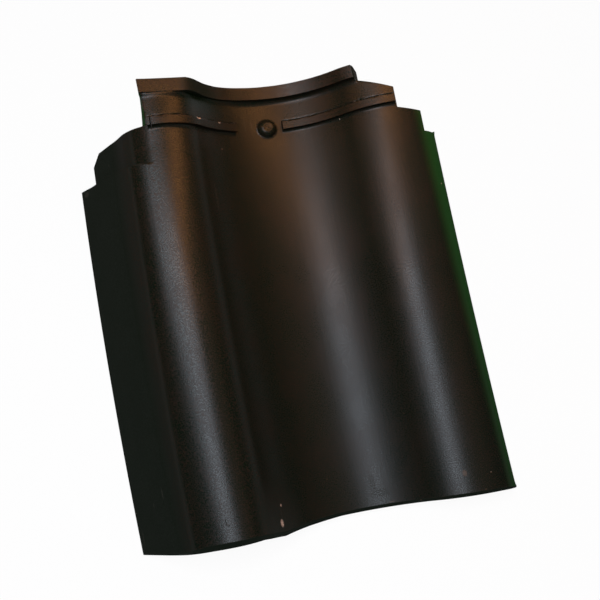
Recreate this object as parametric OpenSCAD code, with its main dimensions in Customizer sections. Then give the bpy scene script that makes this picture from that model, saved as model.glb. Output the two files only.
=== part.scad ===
// Clay roof tile with an S-shaped wave, lying face up as it rests on a level floor.
// X runs across the wave, from the cover roll to the low side crest. Y runs from foot to head.
// The origin is on the floor, under the middle of the tile.

/* [Plate] */
// Overall width across the wave
tile_w = 300; // [296:1:320]
// Overall length from foot to head
tile_len = 360; // [345:1:420]
// Thickness of the fired clay
clay_t = 12.5; // [11:0.5:14]
// Radius of the rounded upper edge at the foot
nose_r = 6; // [4:0.5:9]

/* [Wave] */
// Length of the flat flank beside the cover roll
flank_len = 60; // [56:1:64]
// Rise of the flank for each unit of its length
flank_rise_share = 0.8; // [0.78:0.01:0.82]
// Radius of the cover roll
roll_r = 42.5; // [40:0.5:44]
// Fall of the slope from roll to trough for each unit of its length
slope_fall_share = 0.8; // [0.78:0.01:0.82]
// Length of the straight slope from roll to trough
slope_len = 7.5; // [6:0.5:10]
// Rise of the bank from trough to side crest for each unit of its length
bank_rise_share = 0.5376; // [0.5:0.01:0.56]
// Length of the straight bank from trough to side crest
bank_len = 5; // [3:0.5:7]
// Radius of the low side crest
crest_r = 70; // [64:1:76]
// Fall where the side crest turns into the edge roll, for each unit of length
crest_fall_share = 0.352; // [0.3:0.01:0.4]
// Radius of the edge roll beside the side crest
edge_r = 17.5; // [15:0.5:20]
// Fall of the face at the outer edge for each unit of length
edge_fall_share = 0.8432; // [0.8:0.01:0.88]

/* [Head rim] */
// Width of the rim along the tile
rim_w = 10; // [8:0.5:12]
// Height of the rim over the face
rim_h = 8; // [6:0.5:10]
// Radius of the hollow below the rim
rim_hollow_r = 3; // [2:0.5:4]
// Height of the rim's flat over the top of the cover roll, at the shoulder
rim_flat_h = 6; // [5:0.5:7]
// Fall of the rim's flat for each unit of width
rim_flat_fall_share = 0.24; // [0.2:0.01:0.28]
// Distance of the cut beside the rim's outer end from the side crest's edge
rim_end_gap = 59; // [54:1:64]

/* [Second rib] */
// Distance of the rib's foot side from the head
rib_from_head = 38; // [36:0.5:42]
// Width of the rib along the tile
rib_w = 8.5; // [6:0.5:10]
// Height of the rib over the face
rib_h = 5; // [4:0.5:7]
// Distance of the rib's start from the cover edge
rib_start = 67; // [65:1:70]
// Distance of the rib's end from the side crest's edge
rib_end_gap = 31; // [31:1:36]
// Length of the gap in the rib, at the boss
rib_gap = 41; // [36:1:48]

/* [Nail boss] */
// Distance of the boss from the cover edge
boss_x = 161.5; // [158:0.5:164]
// Distance of the boss from the head
boss_from_head = 35; // [33:0.5:37]
// Diameter of the boss
boss_d = 15; // [13:0.5:17]
// Height of the boss over the face
boss_h = 6; // [5:0.5:7]
// Diameter of the blind nail hole under the boss
nail_d = 5; // [4:0.5:6]
// Clay left over the nail hole, to be knocked through
nail_cap = 4; // [3:0.5:5]

/* [Head corners] */
// Width of the narrow cut at the cover edge
cover_cut_w = 14; // [10:1:18]
// Length of the wide cut at the cover corner, from the head
shoulder_len = 35; // [32:1:37]
// Width of the wide cut at the cover corner
shoulder_w = 61; // [57:1:63]
// Sidewise step of the lowered face on the cover side
lowered_step = 6; // [4:0.5:8]
// Length of the lowered face and of the narrow cut beside it, from the head
lowered_len = 62; // [58:1:70]
// Width of the lowered face's steep part, up its slope
lowered_flank_w = 64; // [60:1:66]
// Rise of the lowered face's upper part for each unit of its width
lowered_rise_share = 0.57; // [0.55:0.01:0.6]
// Length of the narrow cut at the side edge, from the head
side_cut_len = 64; // [60:1:70]
// Width of the narrow cut at the side edge
side_cut_w = 10; // [8:0.5:12]
// Length of the wide cut at the side corner, from the head
corner_len = 41.5; // [41:0.5:46]
// Width of the wide cut at the side corner
corner_w = 30; // [27:1:30]
// Length of the cut beside the rim's outer end, from the head
head_step_len = 11.5; // [11:0.5:15]

/* [Batten nib] */
// Width of the nib across the tile
nib_w = 60; // [50:1:70]
// Thickness of the nib along the tile at its tip
nib_t = 12; // [9:0.5:12]
// Drop of the nib below the trough
nib_drop = 15; // [12:0.5:18]
// Distance of the nib's foot side, which hooks over the batten, from the head
nib_from_head = 18; // [17:0.5:24]

/* [Hidden] */
$fn = 192;

// How far cuts run past the faces they open
overrun = 20;
// How deep raised details reach into the plate
embed = 4;
// Steps of a quarter turn on small rounded edges
round_steps = 6;
// Rounding of the raised details' edges
arris_r = 2;
// Slope of the shoulder's outer corner: its length and width
shoulder_slope = [7, 10];
// Slant of the side corner's cuts along the tile
side_slant = 2;
corner_slant = 5;
bevel_slant = 12;
// Slant of the nib's head side
nib_slant = 5;
// Length of the wedge that trims a turned stretch, in radii
wedge_share = 3;
// Share of the boss's radius that its dome is rounded by
dome_share = 0.6;
// Share of the rib's gap that lies before the boss
gap_before_share = 0.67;
// Distance of the rim's leaning end from the cut beside it, and its lean for each unit of height
rim_end_inset = 2;
rim_lean_share = 0.4;

function run_of(rise) = sqrt(1 - rise * rise);

flank_run_share = run_of(flank_rise_share);
slope_run_share = run_of(slope_fall_share);
bank_run_share = run_of(bank_rise_share);
crest_run_share = run_of(crest_fall_share);
edge_run_share = run_of(edge_fall_share);

// Ends of the wave's stretches on the upper face, as [x, z], and the centres of its turns
cover_edge = [0, 0];
flank_end = cover_edge + flank_len * [flank_run_share, flank_rise_share];
roll_c = flank_end + roll_r * [flank_rise_share, -flank_run_share];
roll_end = roll_c + roll_r * [slope_fall_share, slope_run_share];
slope_end = roll_end + slope_len * [slope_run_share, -slope_fall_share];
trough_r = (slope_end[1] - clay_t) / (1 - slope_run_share);
trough_c = slope_end + trough_r * [slope_fall_share, slope_run_share];
side_w = trough_r * bank_rise_share + bank_len * bank_run_share
    + crest_r * (bank_rise_share + crest_fall_share) + edge_r * (edge_fall_share - crest_fall_share);
floor_end = [tile_w - side_w, clay_t];
bank_c = floor_end + [0, trough_r];
bank_start = bank_c + trough_r * [bank_rise_share, -bank_run_share];
bank_end = bank_start + bank_len * [bank_run_share, bank_rise_share];
crest_c = bank_end + crest_r * [bank_rise_share, -bank_run_share];
edge_start = crest_c + crest_r * [crest_fall_share, crest_run_share];
edge_c = edge_start - edge_r * [crest_fall_share, crest_run_share];

// Straight stretches as [end, direction, length]
straights = [
    [flank_end, [flank_run_share, flank_rise_share], flank_len],
    [slope_end, [slope_run_share, -slope_fall_share], slope_len],
    [floor_end, [1, 0], floor_end[0] - trough_c[0]],
    [bank_end, [bank_run_share, bank_rise_share], bank_len],
];

// Turned stretches as [centre, radius, hollow, direction to start, direction to end]
turns = [
    [roll_c, roll_r, false, [-flank_rise_share, flank_run_share], [slope_fall_share, slope_run_share]],
    [trough_c, trough_r, true, [-slope_fall_share, -slope_run_share], [0, -1]],
    [bank_c, trough_r, true, [0, -1], [bank_rise_share, -bank_run_share]],
    [crest_c, crest_r, false, [-bank_rise_share, bank_run_share], [crest_fall_share, crest_run_share]],
    [edge_c, edge_r, false, [crest_fall_share, crest_run_share], [edge_fall_share, edge_run_share]],
];

rib_y = tile_len - rib_from_head;
boss_y = tile_len - boss_from_head;
boss_z = trough_c[1] - sqrt(trough_r * trough_r - pow(trough_c[0] - boss_x, 2));
nib_y = tile_len - nib_from_head;
nib_x = (trough_c[0] + floor_end[0]) / 2;
// The nib's root lies inside the plate, also where the bank rises beside the trough
nib_root_z = clay_t - embed / 2;
crown_z = roll_c[1] + roll_r;
// The tile rests on its nib and its foot, so its head lies a little higher
rest_pitch = atan(nib_drop / nib_y);
// Middle of the resting tile along Y, between the end of the trough and the foot of the cover roll
middle_y = (tile_len * cos(rest_pitch) - (crown_z - nose_r) * sin(rest_pitch)) / 2;

// Points of a round edge between two directions, given in degrees
function round_points(centre, r, from, to) =
    [for (i = [0 : round_steps]) centre + r * [cos(from + (to - from) * i / round_steps),
        sin(from + (to - from) * i / round_steps)]];

// Stands an outline drawn in X and Z upright, along the whole tile
module along_tile() {
    translate([0, tile_len + overrun, 0])
        rotate([90, 0, 0])
            linear_extrude(tile_len + 2 * overrun) children();
}

// Carries an outline along the wave. Its X is the height over the face, its Y the distance from the foot.
module along_wave() {
    for (s = straights)
        multmatrix([
            [-s[1][1], 0, -s[1][0], s[0][0]],
            [0, 1, 0, 0],
            [s[1][0], 0, -s[1][1], s[0][1]],
        ])
            linear_extrude(s[2]) children();
    for (t = turns)
        intersection() {
            translate([t[0][0], 0, t[0][1]])
                rotate([-90, 0, 0])
                    rotate_extrude()
                        translate([t[1], 0])
                            mirror([t[2] ? 1 : 0, 0]) children();
            along_tile()
                polygon([t[0], t[0] + wedge_share * t[1] * t[3], t[0] + wedge_share * t[1] * t[4]]);
        }
}

// Section of the plate along the tile, with its rounded foot
module plate_outline() {
    polygon(concat(
        [[-clay_t, 0]],
        round_points([-nose_r, nose_r], nose_r, -90, 0),
        [[0, tile_len], [-clay_t, tile_len]]));
}

// Section of the head rim, with the hollow that leads up to it
module rim_outline() {
    rim_y = tile_len - rim_w;
    polygon(concat(
        [[-embed, tile_len], [rim_h - arris_r, tile_len]],
        round_points([rim_h - arris_r, rim_y + arris_r], arris_r, 0, -90),
        round_points([rim_hollow_r, rim_y - rim_hollow_r], rim_hollow_r, 90, 180),
        [[-embed, rim_y - rim_hollow_r]]));
}

// Section of the second rib
module rib_outline() {
    polygon(concat(
        [[-embed, rib_y]],
        round_points([rib_h - arris_r, rib_y + arris_r], arris_r, -90, 0),
        round_points([rib_h - arris_r, rib_y + rib_w - arris_r], arris_r, 0, 90),
        [[-embed, rib_y + rib_w]]));
}

// Plan of the tile, with the corners cut away at the head
module plan() {
    shoulder_y = tile_len - shoulder_len;
    cover_y = tile_len - lowered_len;
    side_y = tile_len - side_cut_len;
    corner_y = tile_len - corner_len;
    step_y = tile_len - head_step_len;
    side_x = tile_w - side_cut_w;
    corner_x = tile_w - corner_w;
    end_x = tile_w - rim_end_gap;
    polygon([
        [-overrun, -overrun],
        [tile_w + overrun, -overrun],
        [tile_w + overrun, side_y - side_slant],
        [tile_w, side_y - side_slant],
        [side_x, side_y],
        [side_x, corner_y - corner_slant],
        [corner_x, corner_y],
        [corner_x, step_y - bevel_slant],
        [end_x, step_y],
        [end_x, tile_len + overrun],
        [shoulder_w, tile_len + overrun],
        [shoulder_w, shoulder_y],
        [cover_cut_w + shoulder_slope[0], shoulder_y],
        [cover_cut_w, shoulder_y - shoulder_slope[1]],
        [cover_cut_w, cover_y],
        [-overrun, cover_y],
    ]);
}

// Space between two places across the tile
module across(from, to) {
    translate([from, -overrun, -overrun])
        cube([to - from, tile_len + 2 * overrun, crown_z + rim_h + 2 * overrun]);
}

// Space over the cover side near the head, which lowers it to a steep and a flatter face
module lowered_face() {
    steep = [flank_run_share, flank_rise_share];
    flatter = [run_of(lowered_rise_share), lowered_rise_share];
    base = cover_edge + [lowered_step, 0] - overrun * steep;
    crease = cover_edge + [lowered_step, 0] + lowered_flank_w * steep;
    intersection() {
        along_tile()
            polygon([base, crease, crease + roll_r * flatter, [base[0], crown_z + overrun]]);
        translate([-overrun, tile_len - lowered_len, -overrun])
            cube([tile_w, lowered_len + overrun, crown_z + 2 * overrun]);
    }
}

// The wavy plate with its foot, its flat cover edge and its head corners
module plate() {
    difference() {
        intersection() {
            along_wave() plate_outline();
            translate([0, 0, -overrun])
                linear_extrude(crown_z + 2 * overrun) plan();
        }
        lowered_face();
        translate([-overrun, -overrun, -overrun])
            cube([flank_end[0] + overrun, tile_len + 2 * overrun, overrun]);
    }
}

// Rim along the head, cut to a falling flat over the cover roll and leaning at its outer end
module rim() {
    flat_z = crown_z + rim_flat_h;
    flat_end_z = flat_z - rim_flat_fall_share * (boss_x - shoulder_w);
    end_x = tile_w - rim_end_gap - rim_end_inset;
    end_z = crest_c[1] + sqrt(crest_r * crest_r - pow(end_x - crest_c[0], 2));
    intersection() {
        along_wave() rim_outline();
        along_tile()
            polygon([
                [shoulder_w, -overrun],
                [end_x + rim_lean_share * (end_z + overrun), -overrun],
                [end_x - rim_lean_share * (crown_z - end_z), crown_z],
                [boss_x, crown_z],
                [boss_x, flat_end_z],
                [shoulder_w, flat_z],
            ]);
    }
}

// Rib below the rim, in two lengths with the boss between them
module rib() {
    gap_start = boss_x - rib_gap * gap_before_share;
    intersection() {
        along_wave() rib_outline();
        union() {
            across(rib_start, gap_start);
            across(gap_start + rib_gap, tile_w - rib_end_gap);
        }
    }
}

// Domed boss over the nail hole
module boss() {
    dome_r = dome_share * boss_d / 2;
    translate([boss_x, boss_y, boss_z])
        rotate_extrude()
            polygon(concat(
                [[0, -embed], [boss_d / 2, -embed]],
                round_points([boss_d / 2 - dome_r, boss_h - dome_r], dome_r, 0, 90),
                [[0, boss_h]]));
}

// Nib under the trough that hangs the tile on its batten
module nib() {
    translate([nib_x - nib_w / 2, nib_y, 0])
        rotate([90, 0, 90])
            linear_extrude(nib_w)
                polygon([
                    [0, nib_root_z],
                    [0, -nib_drop],
                    [nib_t, -nib_drop],
                    [nib_t + nib_slant, nib_root_z],
                ]);
}

module roof_tile() {
    color([0.10, 0.09, 0.07])
        translate([-tile_w / 2, -middle_y, 0])
            rotate([rest_pitch, 0, 0])
                difference() {
                    union() {
                        plate();
                        rim();
                        rib();
                        boss();
                        nib();
                    }
                    translate([boss_x, boss_y, -overrun])
                        cylinder(d = nail_d, h = overrun + boss_z + boss_h - nail_cap);
                }
}

roof_tile();
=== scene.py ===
# Clay roof tile with a dark satin engobe, lying face up on a white floor and seen from above.
import math

import bpy
import numpy as np
from mathutils import Matrix, Quaternion, Vector


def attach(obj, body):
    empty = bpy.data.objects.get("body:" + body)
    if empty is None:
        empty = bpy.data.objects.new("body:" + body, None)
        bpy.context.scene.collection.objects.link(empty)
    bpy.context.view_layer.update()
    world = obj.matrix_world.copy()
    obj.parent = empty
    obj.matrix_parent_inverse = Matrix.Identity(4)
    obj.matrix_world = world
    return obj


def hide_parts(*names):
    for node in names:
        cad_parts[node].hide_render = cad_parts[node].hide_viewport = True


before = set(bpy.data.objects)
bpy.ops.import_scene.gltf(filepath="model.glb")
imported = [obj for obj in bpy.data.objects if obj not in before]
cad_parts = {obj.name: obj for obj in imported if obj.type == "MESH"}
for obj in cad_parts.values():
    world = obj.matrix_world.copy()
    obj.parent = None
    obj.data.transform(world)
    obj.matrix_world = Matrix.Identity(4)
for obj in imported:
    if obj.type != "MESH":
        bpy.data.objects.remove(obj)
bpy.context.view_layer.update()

# Camera
# It looks down on the face from over the foot, and is turned so that the tile leans in the picture.
camera_data = bpy.data.cameras.new("camera")
camera_data.lens = 48.12
camera = bpy.data.objects.new("camera", camera_data)
camera_at = Vector((-0.06059, -0.11898, 0.66603))
looks_at = Vector((0.00961, -0.00495, 0.03))
camera_turn = math.radians(20.5)
camera.location = camera_at
camera.rotation_mode = "QUATERNION"
facing = (looks_at - camera_at).to_track_quat("-Z", "Y")
camera.rotation_quaternion = facing @ Quaternion((0, 0, 1), camera_turn)
bpy.context.scene.collection.objects.link(camera)
bpy.context.scene.camera = camera

# Roof tile
# One piece of clay, pressed to an S-shaped wave with a head rim, ribs, a nail boss and stepped corners.
# It was coated with a thin dark engobe, fired, and worn on its raised edges.
# Sizes are in millimetres on the tile laid level, X from the cover edge and Y from the foot.
tile_len = 360.0
tile_w = 300.0
clay_t = 12.5
flank_len = 60.0
roll_r = 42.5
trough_r = 93.2
bank_len = 0.56
crest_r = 70.0
edge_r = 17.5
rise = math.asin(0.8)
bank = math.asin(0.5376)
fall = math.asin(0.352)
edge = math.asin(0.8432)

# The wave as stretches of its face, each with its length and the slope at its end
stretches = [
    (flank_len, rise),
    (roll_r * 2 * rise, -rise),
    (trough_r * (rise + bank), bank),
    (bank_len, bank),
    (crest_r * (bank + fall), -fall),
    (edge_r * (edge - fall), -edge),
]
stretch_ends = np.cumsum([0.0] + [s[0] for s in stretches])
stretch_slopes = np.array([rise] + [s[1] for s in stretches])
wave_u = np.linspace(0, stretch_ends[-1], 8001)
wave_slope = np.interp(wave_u, stretch_ends, stretch_slopes)
middle_slope = (wave_slope[1:] + wave_slope[:-1]) / 2
wave_step = wave_u[1] - wave_u[0]
wave_x = np.concatenate([[0], np.cumsum(np.cos(middle_slope))]) * wave_step
wave_z = np.concatenate([[0], np.cumsum(np.sin(middle_slope))]) * wave_step


def spaced(marks, step):
    """Places through all the marks, with no gap wider than the step."""
    places = [marks[0]]
    for a, b in zip(marks, marks[1:]):
        places.extend(np.linspace(a, b, max(1, math.ceil((b - a) / step)) + 1)[1:])
    return np.array(places)


# Columns run from foot to head, rows across the wave. Both are closer where the face has edges.
cover_x = 14.0
notch_x = 21.0
shoulder_x = 61.0
end_x = 241.0
corner_x = 270.0
side_x = 290.0
tab_span = (65.9, 68.3)
rib_left_span = (69.0, 134.2)
rib_right_span = (175.0, 268.4)
boss_x = 161.5
boss_y = 325.0
boss_r = 8.0
bend_x = 44.5
column_marks = [0.5, 1.5, 12.8, 13.5, cover_x, 14.5, 15.2, notch_x, 31.5, 32.5, 33.5, bend_x, 59.8, 60.5]
column_marks += [shoulder_x, 61.6, 62.2, 62.8, 63.4, 64, 64.6, 100, 101.4, 103, 231.5, 232, 236.4, 237, 238]
column_marks += [239.4, 240, 240.3, 240.6, end_x, 241.6, 242.4, 269.4, corner_x, 270.6, 271.4, 288.6, 289.4]
column_marks += [side_x, 290.6, 291.4, 298, 299, tile_w]
for span in (tab_span, rib_left_span, rib_right_span):
    for rib_end in span:
        column_marks += [rib_end - 0.6, rib_end - 0.2, rib_end + 0.2, rib_end + 0.6]
column_marks += list(np.arange(boss_x - boss_r - 2.1, boss_x + boss_r + 2.2, 0.7))
column_u = spaced(np.interp(sorted(column_marks), wave_x, wave_u), 2.4)
column_u[-1] = wave_u[-1]

bevel_row = 4.4
foot_len = 20.0
plain_y = 280.0
cover_y = 298.0
notch_y = 315.0
shoulder_y = 323.8
step_y = 348.4
step_low_y = 336.4
corner_y = 318.5
corner_low_y = 313.7
side_y = 296.0
side_low_y = 294.4
lower_y = 297.6
rib_hollow_y = 319.6
rib_y = 321.85
rib_back_y = 328.8
rim_hollow_y = 345.4
rim_y = 349.1
rib_marks = [314.5, corner_y, rib_hollow_y, 320.6, 321.4, rib_y, 322.15, 322.6, shoulder_y, 324.4, 328.4]
rim_marks = [335.5, rim_hollow_y, 346.4, 347.4, step_y, rim_y, 349.4, 350.2, 359.2, 359.6, tile_len]
foot_rows = spaced([0, 0.4, 1.2, 2.2, 3.2, 4.0, bevel_row, 4.8, 5.6, 7, 10, 14, foot_len, plain_y], 6.0)
notch_rows = spaced([plain_y, 295, side_y, 297, lower_y, cover_y, 298.5, 299.2, 311, 314.5], 1.8)
rib_rows = spaced(rib_marks, 0.75)
boss_rows = spaced([328.4, rib_back_y, 329.2, 329.6, 330.2, 331, 335.5], 0.75)
rim_rows = spaced(rim_marks, 1.7)
row_y = np.concatenate([foot_rows[:-1], notch_rows[:-1], rib_rows[:-1], boss_rows[:-1], rim_rows])

col_x = np.interp(column_u, wave_u, wave_x)
col_z = np.interp(column_u, wave_u, wave_z)
col_slope = np.interp(column_u, stretch_ends, stretch_slopes)
X = np.repeat(col_x[:, None], len(row_y), 1)
Z = np.repeat(col_z[:, None], len(row_y), 1)
U = np.repeat(column_u[:, None], len(row_y), 1)
slope = np.repeat(col_slope[:, None], len(row_y), 1)
V = np.repeat(row_y[None, :], len(column_u), 0)


def slanted(y, x, span, start, ends):
    """Rows beyond the start close up over the span of x, so that their end follows a slanted edge."""
    low, high = span
    there = (x >= low - 1e-6) & (x <= high + 1e-6) & (y > start)
    full = max(ends)
    end = ends[0] + (ends[1] - ends[0]) * (x - low) / (high - low)
    moved = start + (y - start) * (end - start) / (full - start)
    return np.where(there & (y <= full + 1e-6), moved, y)


def ramp(value, start, end):
    """From 0 at the start to 1 at the end, with soft ends."""
    t = np.clip((value - start) / (end - start), 0, 1)
    return t * t * (3 - 2 * t)


# The cut corners at the head are slanted, and the cover edge ends a little further up
cover_longer = 1.5
Y = slanted(V, X, (cover_x, notch_x), 300.0, (notch_y, shoulder_y))
Y = slanted(Y, X, (end_x, corner_x), 331.0, (step_y, step_low_y))
Y = slanted(Y, X, (corner_x, side_x), side_y, (corner_y, corner_low_y))
Y = slanted(Y, X, (side_x, tile_w), plain_y, (side_y, side_low_y))
Y = Y + cover_longer * np.clip((V - plain_y) / (cover_y - plain_y), 0, 1) * np.clip(1 - X / cover_x, 0, 1)

# The step to the lowered face runs aslant over the roll
step_slant = 5.0
step_shift = step_slant * np.clip((X - cover_x) / 49, 0, 1) ** 1.5 * (1 - ramp(X, 63, 74))
Y = Y - step_shift * np.clip(np.minimum((V - 283) / 15, (322 - V) / 24), 0, 1)

# The foot is bevelled with a crisp upper line, most over the roll, and a little longer at the roll's end
bevel_w = np.interp(X, [24, 34, 55, 90, 112, 130, 286, 298], [0.3, 1.2, 4.6, 4.2, 2.6, 3.0, 2.2, 0.3])
on_bevel = np.clip(1 - V / bevel_row, 0, 1)
past_bevel = np.clip((V - bevel_row) / (foot_len - bevel_row), 0, 1)
Y = np.where(V < foot_len, bevel_w * (1 - on_bevel) + (foot_len - bevel_w) * past_bevel, Y)
depth = np.minimum(clay_t, U * 4 / 3)
height = np.maximum(-bevel_w * on_bevel, -0.6 * depth)
longer_x = [0, 98, 108, 114, 122, 134, 160, 230, tile_w]
longer = np.interp(X, longer_x, [1.4, 0.8, 2.4, 3.4, 2.6, 1.6, 0.2, 0.6, 2.6])
Y = Y - longer * np.clip(1 - V / foot_len, 0, 1)


def swell(place, middle, width):
    """A soft swell: 1 at its middle, and fading on both sides."""
    return np.exp(-(((place - middle) / width) ** 2))


# A soft ridge along the flank, where it turns into the roll. The roll is fuller on the cover side towards the
# head, leans over to the trough towards the foot, and is a little flat on its crown.
ridge_u = 54.2
ridge_h = 0.4
ridge_w = 14
crown_u = 99
height += ridge_h * np.where(U < ridge_u, U / ridge_u, np.clip(1 - (U - ridge_u) / ridge_w, 0, 1) ** 2)
height += np.interp(V, [0, 100, 300], [0, 0.5, 2.0]) * swell(U, 80, 12)
height += np.interp(V, [0, 150, 280], [0.75, 0.5, 0]) * (swell(U, 118, 14) - swell(U, 84, 14))
height -= np.interp(V, [0, 200, 310, 330], [1.1, 1.3, 0.8, 0]) * swell(U, crown_u, 18)

# Near the head the cover side is lowered: a steep flat face, then one that bends over to the roll's crown
flat_x = 6
bend_w = 23
bend_low = 51.3
bend_rise = 13.63
bend_start = 0.95
bend_end = 0.059
bend = np.clip((X - bend_x) / bend_w, 0, 1)
bend_z = bend_low + bend_rise * (3 * bend ** 2 - 2 * bend ** 3)
bend_z += bend_w * (bend_start * (bend ** 3 - 2 * bend ** 2 + bend) + bend_end * (bend ** 3 - bend ** 2))
lower_z = np.where(X < bend_x, (X - flat_x) * 4 / 3, bend_z)
lowered = np.maximum(0, Z - lower_z) * (X < bend_x + bend_w) * np.clip((V - lower_y) / 0.9, 0, 1)

# The rim along the head, with a hollow at its foot, cut straight over the roll and dipped at its outer end
hair = 0.01
wall_run = 0.3
rim_cut = 44.71
rim_cut_turn = math.radians(13.36)
rim_hollow_r = 4.0
rim_w = 10.6
rim_fall = 1.2
rim_top = np.interp(X, [101, 111, 121, 130, 142, 165, 200], [7.2, 5.4, 4.6, 5.2, 6.4, 7.6, 8.2])
over_roll = rim_cut / np.cos(np.clip(slope + rim_cut_turn, -1.2, 1.2)) - roll_r
rim_top = np.where(X < 104, np.minimum(rim_top, over_roll), rim_top)
rim_top = rim_top - 0.08 * np.clip(X - 232, 0, 8)
rim_top = rim_top * np.interp(X, [240, 240.3, 240.6, end_x], [1, 0.74, 0.66, 0.3])
rim_hollow = rim_hollow_r - np.sqrt(rim_hollow_r ** 2 - np.clip(V - rim_hollow_y, 0, 3.6) ** 2)
rim_face = rim_top - rim_fall * np.clip((tile_len - V) / rim_w, 0, 1)
rim_wall = np.clip((V - rim_y) / wall_run, 0, 1)
in_rim = (X > shoulder_x - hair) & (X < end_x + hair)
height += in_rim * (np.minimum(rim_hollow, 0.35 * rim_top) * (1 - rim_wall) + rim_face * rim_wall)


def stands(x, span):
    """Where a rib stands: 1 within its span, with steep ends."""
    return np.clip(np.minimum((x - span[0]) / 0.4, (span[1] - x) / 0.4) + 0.5, 0, 1)


# The second rib in two lengths and a small tab, with a hollow at its foot, a ragged upper edge and a fine
# groove behind it
rib_h = 4.6
rib_foot_h = 1.2
rib_hollow_r = 2.5
groove_y = 330.1
groove_w = 0.5
groove_d = 1.1
rib_there = stands(X, tab_span) + stands(X, rib_left_span) + stands(X, rib_right_span)
rib_hollow = rib_hollow_r - np.sqrt(rib_hollow_r ** 2 - np.clip(V - rib_hollow_y, 0, 2.2) ** 2)
rib_wall = np.clip((V - rib_y) / wall_run, 0, 1)
ragged = 0.3 * np.sin(1.7 * X) + 0.25 * np.sin(0.71 * X + 1)
rib_back = 1 - np.clip((V - rib_back_y - ragged) / 0.8, 0, 1)
rib_top = rib_foot_h + (rib_h - rib_foot_h) * rib_wall
rib_rise = np.where(V < rib_y, np.minimum(rib_hollow, rib_foot_h), rib_top)
height += rib_there * (rib_back * rib_rise - groove_d * swell(V, groove_y + ragged, groove_w))

# The boss over the nail hole: a domed knob, a little wider than long, with a dished top and a small pip
boss_h = 5.2
boss_flat_r = 3.2
boss_fall = boss_r - boss_flat_r
dish_r = 3.6
dish_d = 0.5
pip_r = 1.3
from_boss = np.hypot(X - boss_x, 1.1 * (Y - boss_y))
knob = boss_h * np.sqrt(np.clip(1 - (np.clip(from_boss - boss_flat_r, 0, boss_fall) / boss_fall) ** 2, 0, 1))
knob -= dish_d * np.clip(1 - (from_boss / dish_r) ** 2, 0, 1) - dish_d * swell(from_boss, 0, pip_r)
fillet = 0.6 * np.clip(1 - (from_boss - boss_r) / 2.2, 0, 1) ** 2 * (from_boss > boss_r)
height += np.maximum(knob, fillet)

# The drafted wall at the head's left end, narrower and set in towards the head
draft_drop = 4.5
set_in_w = 4.2
at_left_end = (X > shoulder_x - hair) & (V > shoulder_y + 0.5)
draft_w = np.interp(V, [shoulder_y, tile_len], [3.6, 2.0])
draft = np.clip((shoulder_x + draft_w - X) / draft_w, 0, 1) * at_left_end
height = height * (1 - draft) - draft_drop * draft
set_in = np.interp(V, [shoulder_y, tile_len], [-0.8, 1.6]) * at_left_end
set_in = set_in * np.clip((shoulder_x + set_in_w - X) / set_in_w, 0, 1)

# Cut edges are a little rounded
outline = [
    (tile_w, 0), (tile_w, side_low_y), (side_x, side_y), (side_x, corner_low_y), (corner_x, corner_y),
    (corner_x, step_low_y), (end_x, step_y), (end_x, tile_len), (shoulder_x, tile_len),
    (shoulder_x, shoulder_y), (notch_x, shoulder_y), (cover_x, notch_y), (cover_x, cover_y), (0, cover_y),
]
from_edge = np.full(X.shape, 99.0)
for (ax, ay), (bx, by) in zip(outline, outline[1:]):
    along = ((X - ax) * (bx - ax) + (Y - ay) * (by - ay)) / ((bx - ax) ** 2 + (by - ay) ** 2)
    along = np.clip(along, 0, 1)
    from_edge = np.minimum(from_edge, np.hypot(X - ax - along * (bx - ax), Y - ay - along * (by - ay)))
arris_r = 0.6
inward = np.clip(1 - from_edge / arris_r, 0, 1)
height -= arris_r * (1 - np.sqrt(1 - inward ** 2))

# Upper and lower face, and the slight bow and skew that firing left
cut_back_d = 2.5
cut_back_len = 14
bow_d = 2.8
bow_y = 160
top = np.stack([X - height * np.sin(slope), Y, Z + height * np.cos(slope) - lowered], -1)
cut_back = cut_back_d * np.clip(1 - V / cut_back_len, 0, 1)
below = np.stack([X + depth * np.sin(slope), Y + cut_back, np.maximum(0, Z - depth * np.cos(slope))], -1)
grid = np.stack([top, below])
grid[..., 0] += set_in
skew = np.interp(grid[..., 1], [0, tile_len], [-0.0176, -0.007])
bow = bow_d * (1 - ((grid[..., 1] - bow_y) / bow_y) ** 2)
grid[..., 1] += skew * (grid[..., 0] - tile_w / 2)
grid[..., 0] -= np.maximum(bow, -0.6) * (1 - 0.5 * grid[..., 0] / tile_w)

# Cells that the head's cut corners leave
cell_x = (col_x[1:] + col_x[:-1]) / 2
cell_y = (row_y[1:] + row_y[:-1]) / 2
strip_ends = np.array([cover_y, shoulder_y, tile_len, step_y, corner_y, side_y])
strip = np.searchsorted([cover_x, shoulder_x, end_x, corner_x, side_x], cell_x)
kept = cell_y[None, :] < strip_ends[strip][:, None]
columns, rows = X.shape
number = np.arange(2 * columns * rows).reshape(2, columns, rows)
faces = []
for i, k in zip(*np.nonzero(kept)):
    corners = number[0, i:i + 2, k:k + 2]
    faces.append((corners[0, 0], corners[1, 0], corners[1, 1], corners[0, 1]))
    corners = number[1, i:i + 2, k:k + 2]
    faces.append((corners[0, 0], corners[0, 1], corners[1, 1], corners[1, 0]))
framed = np.pad(kept, 1)
for i, k in zip(*np.nonzero(kept)):
    sides = [
        (framed[i, k + 1], (i, k + 1), (i, k)),
        (framed[i + 2, k + 1], (i + 1, k), (i + 1, k + 1)),
        (framed[i + 1, k], (i, k), (i + 1, k)),
        (framed[i + 1, k + 2], (i + 1, k + 1), (i, k + 1)),
    ]
    for has_next, a, b in sides:
        if not has_next:
            faces.append((number[0][b], number[0][a], number[1][a], number[1][b]))

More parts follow.
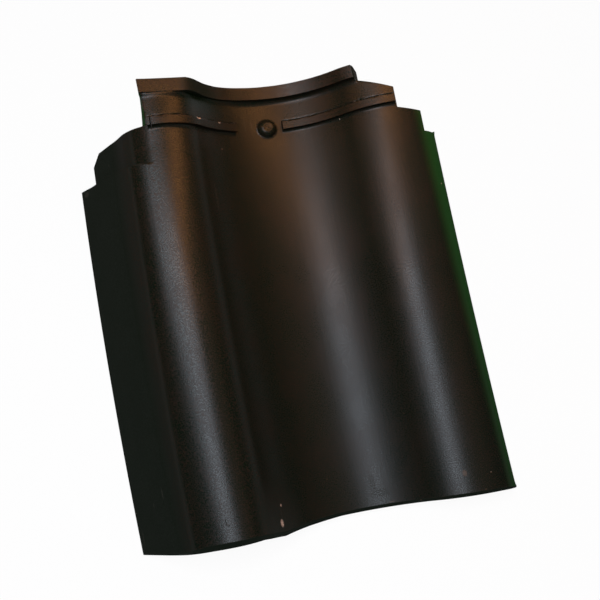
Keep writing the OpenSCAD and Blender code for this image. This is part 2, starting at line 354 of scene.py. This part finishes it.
# Laid on its foot and its nib, as the CAD has it
nib_drop = 15.0
nib_y = 342.0
foot_top = 59.0
pitch = math.atan2(nib_drop, nib_y)
middle_y = (tile_len * math.cos(pitch) - foot_top * math.sin(pitch)) / 2
to_middle = Matrix.Translation((-tile_w / 2, -middle_y, 0))
to_row = Matrix.Scale(0.001, 4) @ to_middle @ Matrix.Rotation(pitch, 4, "X")

used = np.unique(np.array(faces))
renumber = np.full(number.size, -1)
renumber[used] = np.arange(len(used))
tile_mesh = bpy.data.meshes.new("roof_tile_fired")
tile_mesh.from_pydata(grid.reshape(-1, 3)[used].tolist(), [], renumber[np.array(faces)].tolist())
place = np.stack([np.stack([U, Y, height], -1), np.stack([U, Y, -depth], -1)]).reshape(-1, 3)[used]
place_layer = tile_mesh.attributes.new("wave_place", "FLOAT_VECTOR", "POINT")
place_layer.data.foreach_set("vector", place.astype(np.float32).ravel())

# How worn each place is and how dull, steep sides taking less of the engobe's satin; green is a painted
# reflection on steep outer sides, and green-black is painted shade on the flank, foot bevel and rim's end
on_foot = V < bevel_row + 0.1
leans_right = ramp(-slope, 0.5, 0.85) * (X < 150)
near_foot = 1 - ramp(V, 10, 48)
rim_end = rim_wall * in_rim * (X > 240.1)
in_trough = ramp(X, 105, 140) * (1 - ramp(X, 205, 240))
below_rib = ramp(V, 170, 230) * (1 - ramp(V, 295, 325)) * ramp(X, 105, 140)
worn_top = np.maximum(rim_wall * in_rim, rib_wall * rib_back * rib_there) * (1 - 0.8 * leans_right)
worn_top = np.maximum(worn_top, 0.9 * (np.abs(V - bevel_row) < 0.1) * (X > 75)) * (1 - rim_end)
normal = np.cross(np.gradient(top, axis=0), np.gradient(top, axis=1))
tilt = np.degrees(np.arccos(normal[..., 2] / np.maximum(np.linalg.norm(normal, axis=-1), 1e-9)))
reflection_band_w = 14
edge_from = stretch_ends[-1] - reflection_band_w - 10 * V / tile_len
# Painted reflection: the right edge and the drafted wall at the head's left end get green, where steep sides
# mirror green surroundings
painted_green_reflection = np.maximum(ramp(U, edge_from, edge_from + reflection_band_w), draft > 0)
# Painted shade: green-black on the flank, the foot bevel, the rim's end and the rim's right-leaning slope,
# where little light reaches
painted_dark_shade = np.maximum.reduce([
    1 - ramp(U, 54, 72), 0.8 * leans_right * ramp(V, 332, 345), on_foot, rim_end,
])
dull = np.maximum.reduce([
    np.where(X < 150, ramp(tilt, 30, 41) * (1 - ramp(X, 57, 66)), ramp(tilt, 20, 40) * (X > 275)),
    leans_right * np.maximum(rim_wall, 0.5 * near_foot),
    rim_end, (draft > 0) | on_foot, 0.6 * painted_green_reflection, 0.05 * in_trough, 0.1 * below_rib,
])
for name, above, under in (
    ("worn_top", worn_top, 0.0),
    ("dull", dull, 1.0),
    ("painted_green_reflection", painted_green_reflection, 0.0),
    ("painted_dark_shade", painted_dark_shade, 0.3),
):
    layer = tile_mesh.attributes.new(name, "FLOAT", "POINT")
    values = np.stack([above, np.full(X.shape, under)]).reshape(-1)[used]
    layer.data.foreach_set("value", values.astype(np.float32))
tile_mesh.transform(to_row)
tile = bpy.data.objects.new("roof_tile_fired", tile_mesh)
bpy.context.scene.collection.objects.link(tile)

# The nib under the head, and the blind nail hole under the boss
nib_mesh = bpy.data.meshes.new("nib")
nib_ends = [146.4, 206.4]
nib_root_z = 7.5
nib_root_len = 16.4
nib_tip_len = 12
nib_section = [
    (nib_y, nib_root_z), (nib_y, -nib_drop), (nib_y + nib_tip_len, -nib_drop),
    (nib_y + nib_root_len, nib_root_z),
]
nib_points = [(x, y, z) for x in nib_ends for y, z in nib_section]
nib_faces = [(0, 1, 2, 3), (7, 6, 5, 4), (0, 4, 5, 1), (1, 5, 6, 2), (2, 6, 7, 3), (3, 7, 4, 0)]
nib_mesh.from_pydata(nib_points, [], nib_faces)
nib_mesh.transform(to_row)
nib = bpy.data.objects.new("nib", nib_mesh)
hole_mesh = bpy.data.meshes.new("nail_hole")
hole_r = 2.5
hole_ends = [-20.0, 14.5]
hole_sides = 32
hole_turn = np.linspace(0, 2 * math.pi, hole_sides + 1)[:-1]
hole_points = []
for z in hole_ends:
    hole_points += [(boss_x + hole_r * math.cos(a), boss_y + hole_r * math.sin(a), z) for a in hole_turn]
hole_faces = [tuple(range(hole_sides - 1, -1, -1)), tuple(range(hole_sides, 2 * hole_sides))]
for i in range(hole_sides):
    i_next = (i + 1) % hole_sides
    hole_faces.append((i, i_next, hole_sides + i_next, hole_sides + i))
hole_mesh.from_pydata(hole_points, [], hole_faces)
hole_mesh.transform(to_row)
hole = bpy.data.objects.new("nail_hole", hole_mesh)
for tool, operation in ((nib, "UNION"), (hole, "DIFFERENCE")):
    bpy.context.scene.collection.objects.link(tool)
    change = tile.modifiers.new(tool.name, "BOOLEAN")
    change.solver = "EXACT"
    change.operation = operation
    change.object = tool
depsgraph = bpy.context.evaluated_depsgraph_get()
whole = bpy.data.meshes.new_from_object(tile.evaluated_get(depsgraph))
tile.modifiers.clear()
tile.data = whole
bpy.data.objects.remove(nib)
bpy.data.objects.remove(hole)
whole.shade_smooth()
whole.set_sharp_from_angle(angle=math.radians(40))

# The engobe: nearly black and satin, mottled with brown and flecked with rust and moss, and rubbed on raised
# edges. Steep sides get a painted green reflection and painted green-black shade.
clay = bpy.data.materials.new("engobed_clay")
clay.use_nodes = True
nodes = clay.node_tree.nodes
links = clay.node_tree.links
shader = nodes["Principled BSDF"]
place_node = nodes.new("ShaderNodeAttribute")
place_node.attribute_name = "wave_place"


def how(name):
    """How worn or dull a place is, or how much painted green reflection or painted shade it carries."""
    made = nodes.new("ShaderNodeAttribute")
    made.attribute_name = name
    return made.outputs["Fac"]


def wire(socket, value):
    """Links a socket, or sets it."""
    if isinstance(value, bpy.types.NodeSocket):
        links.new(value, socket)
    else:
        socket.default_value = value


def noise(per_mm, detail, roughness):
    """Noise over the wave's face, with its scale across, along and through the clay."""
    stretched = nodes.new("ShaderNodeVectorMath")
    stretched.operation = "MULTIPLY"
    wire(stretched.inputs[0], place_node.outputs["Vector"])
    wire(stretched.inputs[1], per_mm)
    made = nodes.new("ShaderNodeTexNoise")
    wire(made.inputs["Vector"], stretched.outputs[0])
    wire(made.inputs["Scale"], 1.0)
    wire(made.inputs["Detail"], detail)
    wire(made.inputs["Roughness"], roughness)
    return made.outputs["Fac"]


def between(value, start, end, low=0.0, high=1.0):
    """A value's range, brought to another."""
    made = nodes.new("ShaderNodeMapRange")
    made.interpolation_type = "SMOOTHSTEP"
    wire(made.inputs["Value"], value)
    wire(made.inputs["From Min"], start)
    wire(made.inputs["From Max"], end)
    wire(made.inputs["To Min"], low)
    wire(made.inputs["To Max"], high)
    return made.outputs["Result"]


def sums(operation, a, b):
    """Two values by an operation."""
    made = nodes.new("ShaderNodeMath")
    made.operation = operation
    wire(made.inputs[0], a)
    wire(made.inputs[1], b)
    return made.outputs[0]


def tint(share, a, b):
    """Colour a, going over to b by the share."""
    made = nodes.new("ShaderNodeMix")
    made.data_type = "RGBA"
    wire(made.inputs["Factor"], share)
    wire(made.inputs["A"], a)
    wire(made.inputs["B"], b)
    return made.outputs["Result"]


def marks(spots):
    """Small marks on the face, each by its place across and along the wave and its half sizes."""
    all_marks = 0.0
    for u, y, half_u, half_y in spots:
        off = nodes.new("ShaderNodeVectorMath")
        off.operation = "SUBTRACT"
        wire(off.inputs[0], place_node.outputs["Vector"])
        wire(off.inputs[1], (u, y, 0))
        sized = nodes.new("ShaderNodeVectorMath")
        sized.operation = "MULTIPLY"
        wire(sized.inputs[0], off.outputs[0])
        wire(sized.inputs[1], (1 / half_u, 1 / half_y, 0))
        away = nodes.new("ShaderNodeVectorMath")
        away.operation = "LENGTH"
        wire(away.inputs[0], sized.outputs[0])
        all_marks = sums("MAXIMUM", all_marks, between(away.outputs["Value"], 0.5, 1.0, 1.0, 0.0))
    return all_marks


streaks = noise((0.3, 0.012, 0.3), 3.0, 0.6)
mottle = noise((0.045, 0.03, 0.045), 4.0, 0.55)
grain = noise((1.1, 1.1, 1.1), 2.0, 0.6)
black = (0.003, 0.005, 0.0034, 1)
brown = (0.0048, 0.005, 0.0034, 1)
# Painted shade colour for the steep and foot-facing sides
painted_shade_colour = (0.0002, 0.003, 0.0001, 1)
# Painted reflection colour for the steep outer sides
reflected_green = (0.0015, 0.028, 0.002, 1)
rust = (0.018, 0.009, 0.004, 1)
moss = (0.0012, 0.007, 0.0015, 1)
bare = (0.009, 0.0055, 0.003, 1)
grey = (0.03, 0.028, 0.022, 1)
clay_brown = (0.05, 0.032, 0.02, 1)
clay_pale = (0.34, 0.26, 0.21, 1)
engobe = tint(between(mottle, 0.4, 0.7), black, brown)
engobe = tint(between(grain, 0.5, 0.68, 0.0, 0.7), engobe, rust)
engobe = tint(between(grain, 0.46, 0.34, 0.0, 0.7), engobe, moss)
# Painted reflection: green over the steep outer sides
engobe = tint(how("painted_green_reflection"), engobe, reflected_green)
# Painted shade: green-black over the dark steep sides
engobe = tint(how("painted_dark_shade"), engobe, painted_shade_colour)
rubbed = sums("MULTIPLY", how("worn_top"), between(noise((0.05, 1.1, 0.3), 3.0, 0.6), 0.45, 0.62, 0.0, 0.9))
engobe = tint(rubbed, engobe, bare)
chips = marks([
    (150, 7, 2.0, 3.6), (152.8, 20, 0.9, 1.3), (136.2, 328.4, 2.6, 1.8), (160.7, 328.2, 1.4, 0.9),
    (163, 307.5, 0.5, 0.5), (271.5, 320.5, 0.6, 0.6), (347.5, 249.5, 0.5, 0.6), (331, 14, 0.5, 0.5),
])
engobe = tint(sums("MULTIPLY", chips, between(grain, 0.36, 0.52, 0.2, 0.85)), engobe, clay_pale)
scuffs = marks([
    (9, 294.5, 5, 3), (47.2, 45.5, 0.9, 6), (31.5, 37, 0.7, 2.5), (6.5, 12, 0.7, 8), (189, 330, 0.5, 9),
    (195, 326, 0.5, 10), (148, 265, 0.4, 16), (151.4, 14, 0.3, 6), (48.5, 308, 0.8, 1.6),
])
engobe = tint(sums("MULTIPLY", scuffs, between(grain, 0.4, 0.6, 0.15, 0.6)), engobe, grey)
stains = marks([
    (310, 17, 2.3, 3), (248, 3.6, 3, 0.5), (271, 1.5, 1, 0.6), (323.5, 2, 1.2, 0.5), (273.5, 70.5, 0.5, 0.5),
    (200.5, 30.5, 0.5, 0.5),
])
engobe = tint(sums("MULTIPLY", stains, 0.7), engobe, clay_brown)
scratch = marks([(100.5, 18.5, 0.4, 3.4), (102, 15.6, 1.5, 0.4)])
wire(shader.inputs["Base Color"], engobe)
satin = sums("ADD", between(mottle, 0.3, 0.7, 0.3, 0.34), between(grain, 0.35, 0.65, -0.08, 0.08))
smudge = marks([(241, 12, 9, 4), (236, 20, 3, 9)])
dulled = sums("ADD", sums("MULTIPLY", how("dull"), 0.64), sums("MULTIPLY", scratch, 0.4))
dulled = sums("ADD", dulled, sums("MULTIPLY", smudge, between(grain, 0.4, 0.6, 0.0, 0.12)))
roughness = sums("ADD", sums("ADD", satin, dulled), sums("MULTIPLY", rubbed, 0.08))
wire(shader.inputs["Roughness"], roughness)
wire(shader.inputs["Specular IOR Level"], 0.14)
bump = nodes.new("ShaderNodeBump")
wire(bump.inputs["Strength"], 0.22)
wire(bump.inputs["Distance"], 0.0004)
wire(bump.inputs["Height"], sums("ADD", grain, sums("MULTIPLY", streaks, 0.4)))
wire(shader.inputs["Normal"], bump.outputs["Normal"])
whole.materials.clear()
whole.materials.append(clay)

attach(tile, "root")
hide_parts("roof_tile")

# Floor
# A plain round studio floor, wide enough to fill the picture, with a low wall of the same white paper far off
# all round it. It is white to the eye, and keeps the shadow.
floor_r = 12.0
wall_h = 1.55
floor_sides = 64
floor_turn = np.linspace(0, 2 * math.pi, floor_sides + 1)[:-1]
floor_points = [(floor_r * math.cos(a), floor_r * math.sin(a), z) for z in (0, wall_h) for a in floor_turn]
floor_faces = [tuple(range(floor_sides))]
for i in range(floor_sides):
    i_next = (i + 1) % floor_sides
    floor_faces.append((i, floor_sides + i, floor_sides + i_next, i_next))
floor_mesh = bpy.data.meshes.new("floor")
floor_mesh.from_pydata(floor_points, [], floor_faces)
floor = bpy.data.objects.new("floor", floor_mesh)
bpy.context.scene.collection.objects.link(floor)
paper = bpy.data.materials.new("white_paper")
paper.use_nodes = True
paper_nodes = paper.node_tree.nodes
paper_links = paper.node_tree.links
paper_shader = paper_nodes["Principled BSDF"]
paper_shader.inputs["Base Color"].default_value = (0.95, 0.9, 0.84, 1)
paper_shader.inputs["Roughness"].default_value = 0.9
paper_shader.inputs["Specular IOR Level"].default_value = 0.0
paper_white = paper_nodes.new("ShaderNodeEmission")
seen = paper_nodes.new("ShaderNodeLightPath")
seen_or_mirrored = paper_nodes.new("ShaderNodeMath")
seen_or_mirrored.operation = "MAXIMUM"
seen_at_all = paper_nodes.new("ShaderNodeMath")
seen_at_all.operation = "MAXIMUM"
white_share = paper_nodes.new("ShaderNodeMath")
white_share.operation = "MULTIPLY"
white_share.inputs[1].default_value = 0.9
paper_mix = paper_nodes.new("ShaderNodeMixShader")
paper_links.new(seen.outputs["Is Camera Ray"], seen_or_mirrored.inputs[0])
paper_links.new(seen.outputs["Is Glossy Ray"], seen_or_mirrored.inputs[1])
paper_links.new(seen_or_mirrored.outputs[0], seen_at_all.inputs[0])
paper_links.new(seen.outputs["Is Transmission Ray"], seen_at_all.inputs[1])
paper_links.new(seen_at_all.outputs[0], white_share.inputs[0])
paper_links.new(white_share.outputs[0], paper_mix.inputs[0])
paper_links.new(paper_shader.outputs[0], paper_mix.inputs[1])
paper_links.new(paper_white.outputs[0], paper_mix.inputs[2])
paper_links.new(paper_mix.outputs[0], paper_nodes["Material Output"].inputs["Surface"])
floor_mesh.materials.append(paper)

# Light
# A long cool softbox over the tile, a dim warm panel on its right, and a dim room. Two warm strips near the
# head light the tile only.
lit_warm = bpy.data.collections.new("lit_warm")
lit_warm.objects.link(tile)
for name, at, aim, size, power, colour, alone in (
    ("cool_softbox", (-0.17, -0.09, 1.5), (0, -0.09, 0.03), (1.14, 0.42), 25.0, (0.83, 0.89, 1.0), False),
    ("warm_strip", (0.12, 0.22, 0.36), (0, 0.12, 0.03), (0.06, 0.55), 1.6, (1.0, 0.4, 0.12), True),
    ("warm_head", (-0.05, 0.34, 0.36), (-0.05, 0.2, 0.05), (0.3, 0.05), 0.45, (1.0, 0.4, 0.12), True),
    ("warm_panel", (0.46, 0, 0.9), (0, 0, 0.03), (1.2, 0.62), 1.4, (1.0, 0.66, 0.46), False),
):
    softbox = bpy.data.lights.new(name, "AREA")
    softbox.shape = "RECTANGLE"
    softbox.size = size[0]
    softbox.size_y = size[1]
    softbox.energy = power
    softbox.color = colour
    lamp = bpy.data.objects.new(name, softbox)
    lamp.location = at
    lamp.rotation_euler = (Vector(aim) - Vector(at)).to_track_quat("-Z", "Y").to_euler()
    lamp.visible_camera = False
    if alone:
        lamp.light_linking.receiver_collection = lit_warm
    bpy.context.scene.collection.objects.link(lamp)
room = bpy.data.worlds.new("room")
room.use_nodes = True
room.node_tree.nodes["Background"].inputs["Color"].default_value = (0.9, 0.95, 1.0, 1)
room.node_tree.nodes["Background"].inputs["Strength"].default_value = 0.05
bpy.context.scene.world = room
bpy.context.scene.view_settings.view_transform = "Standard"
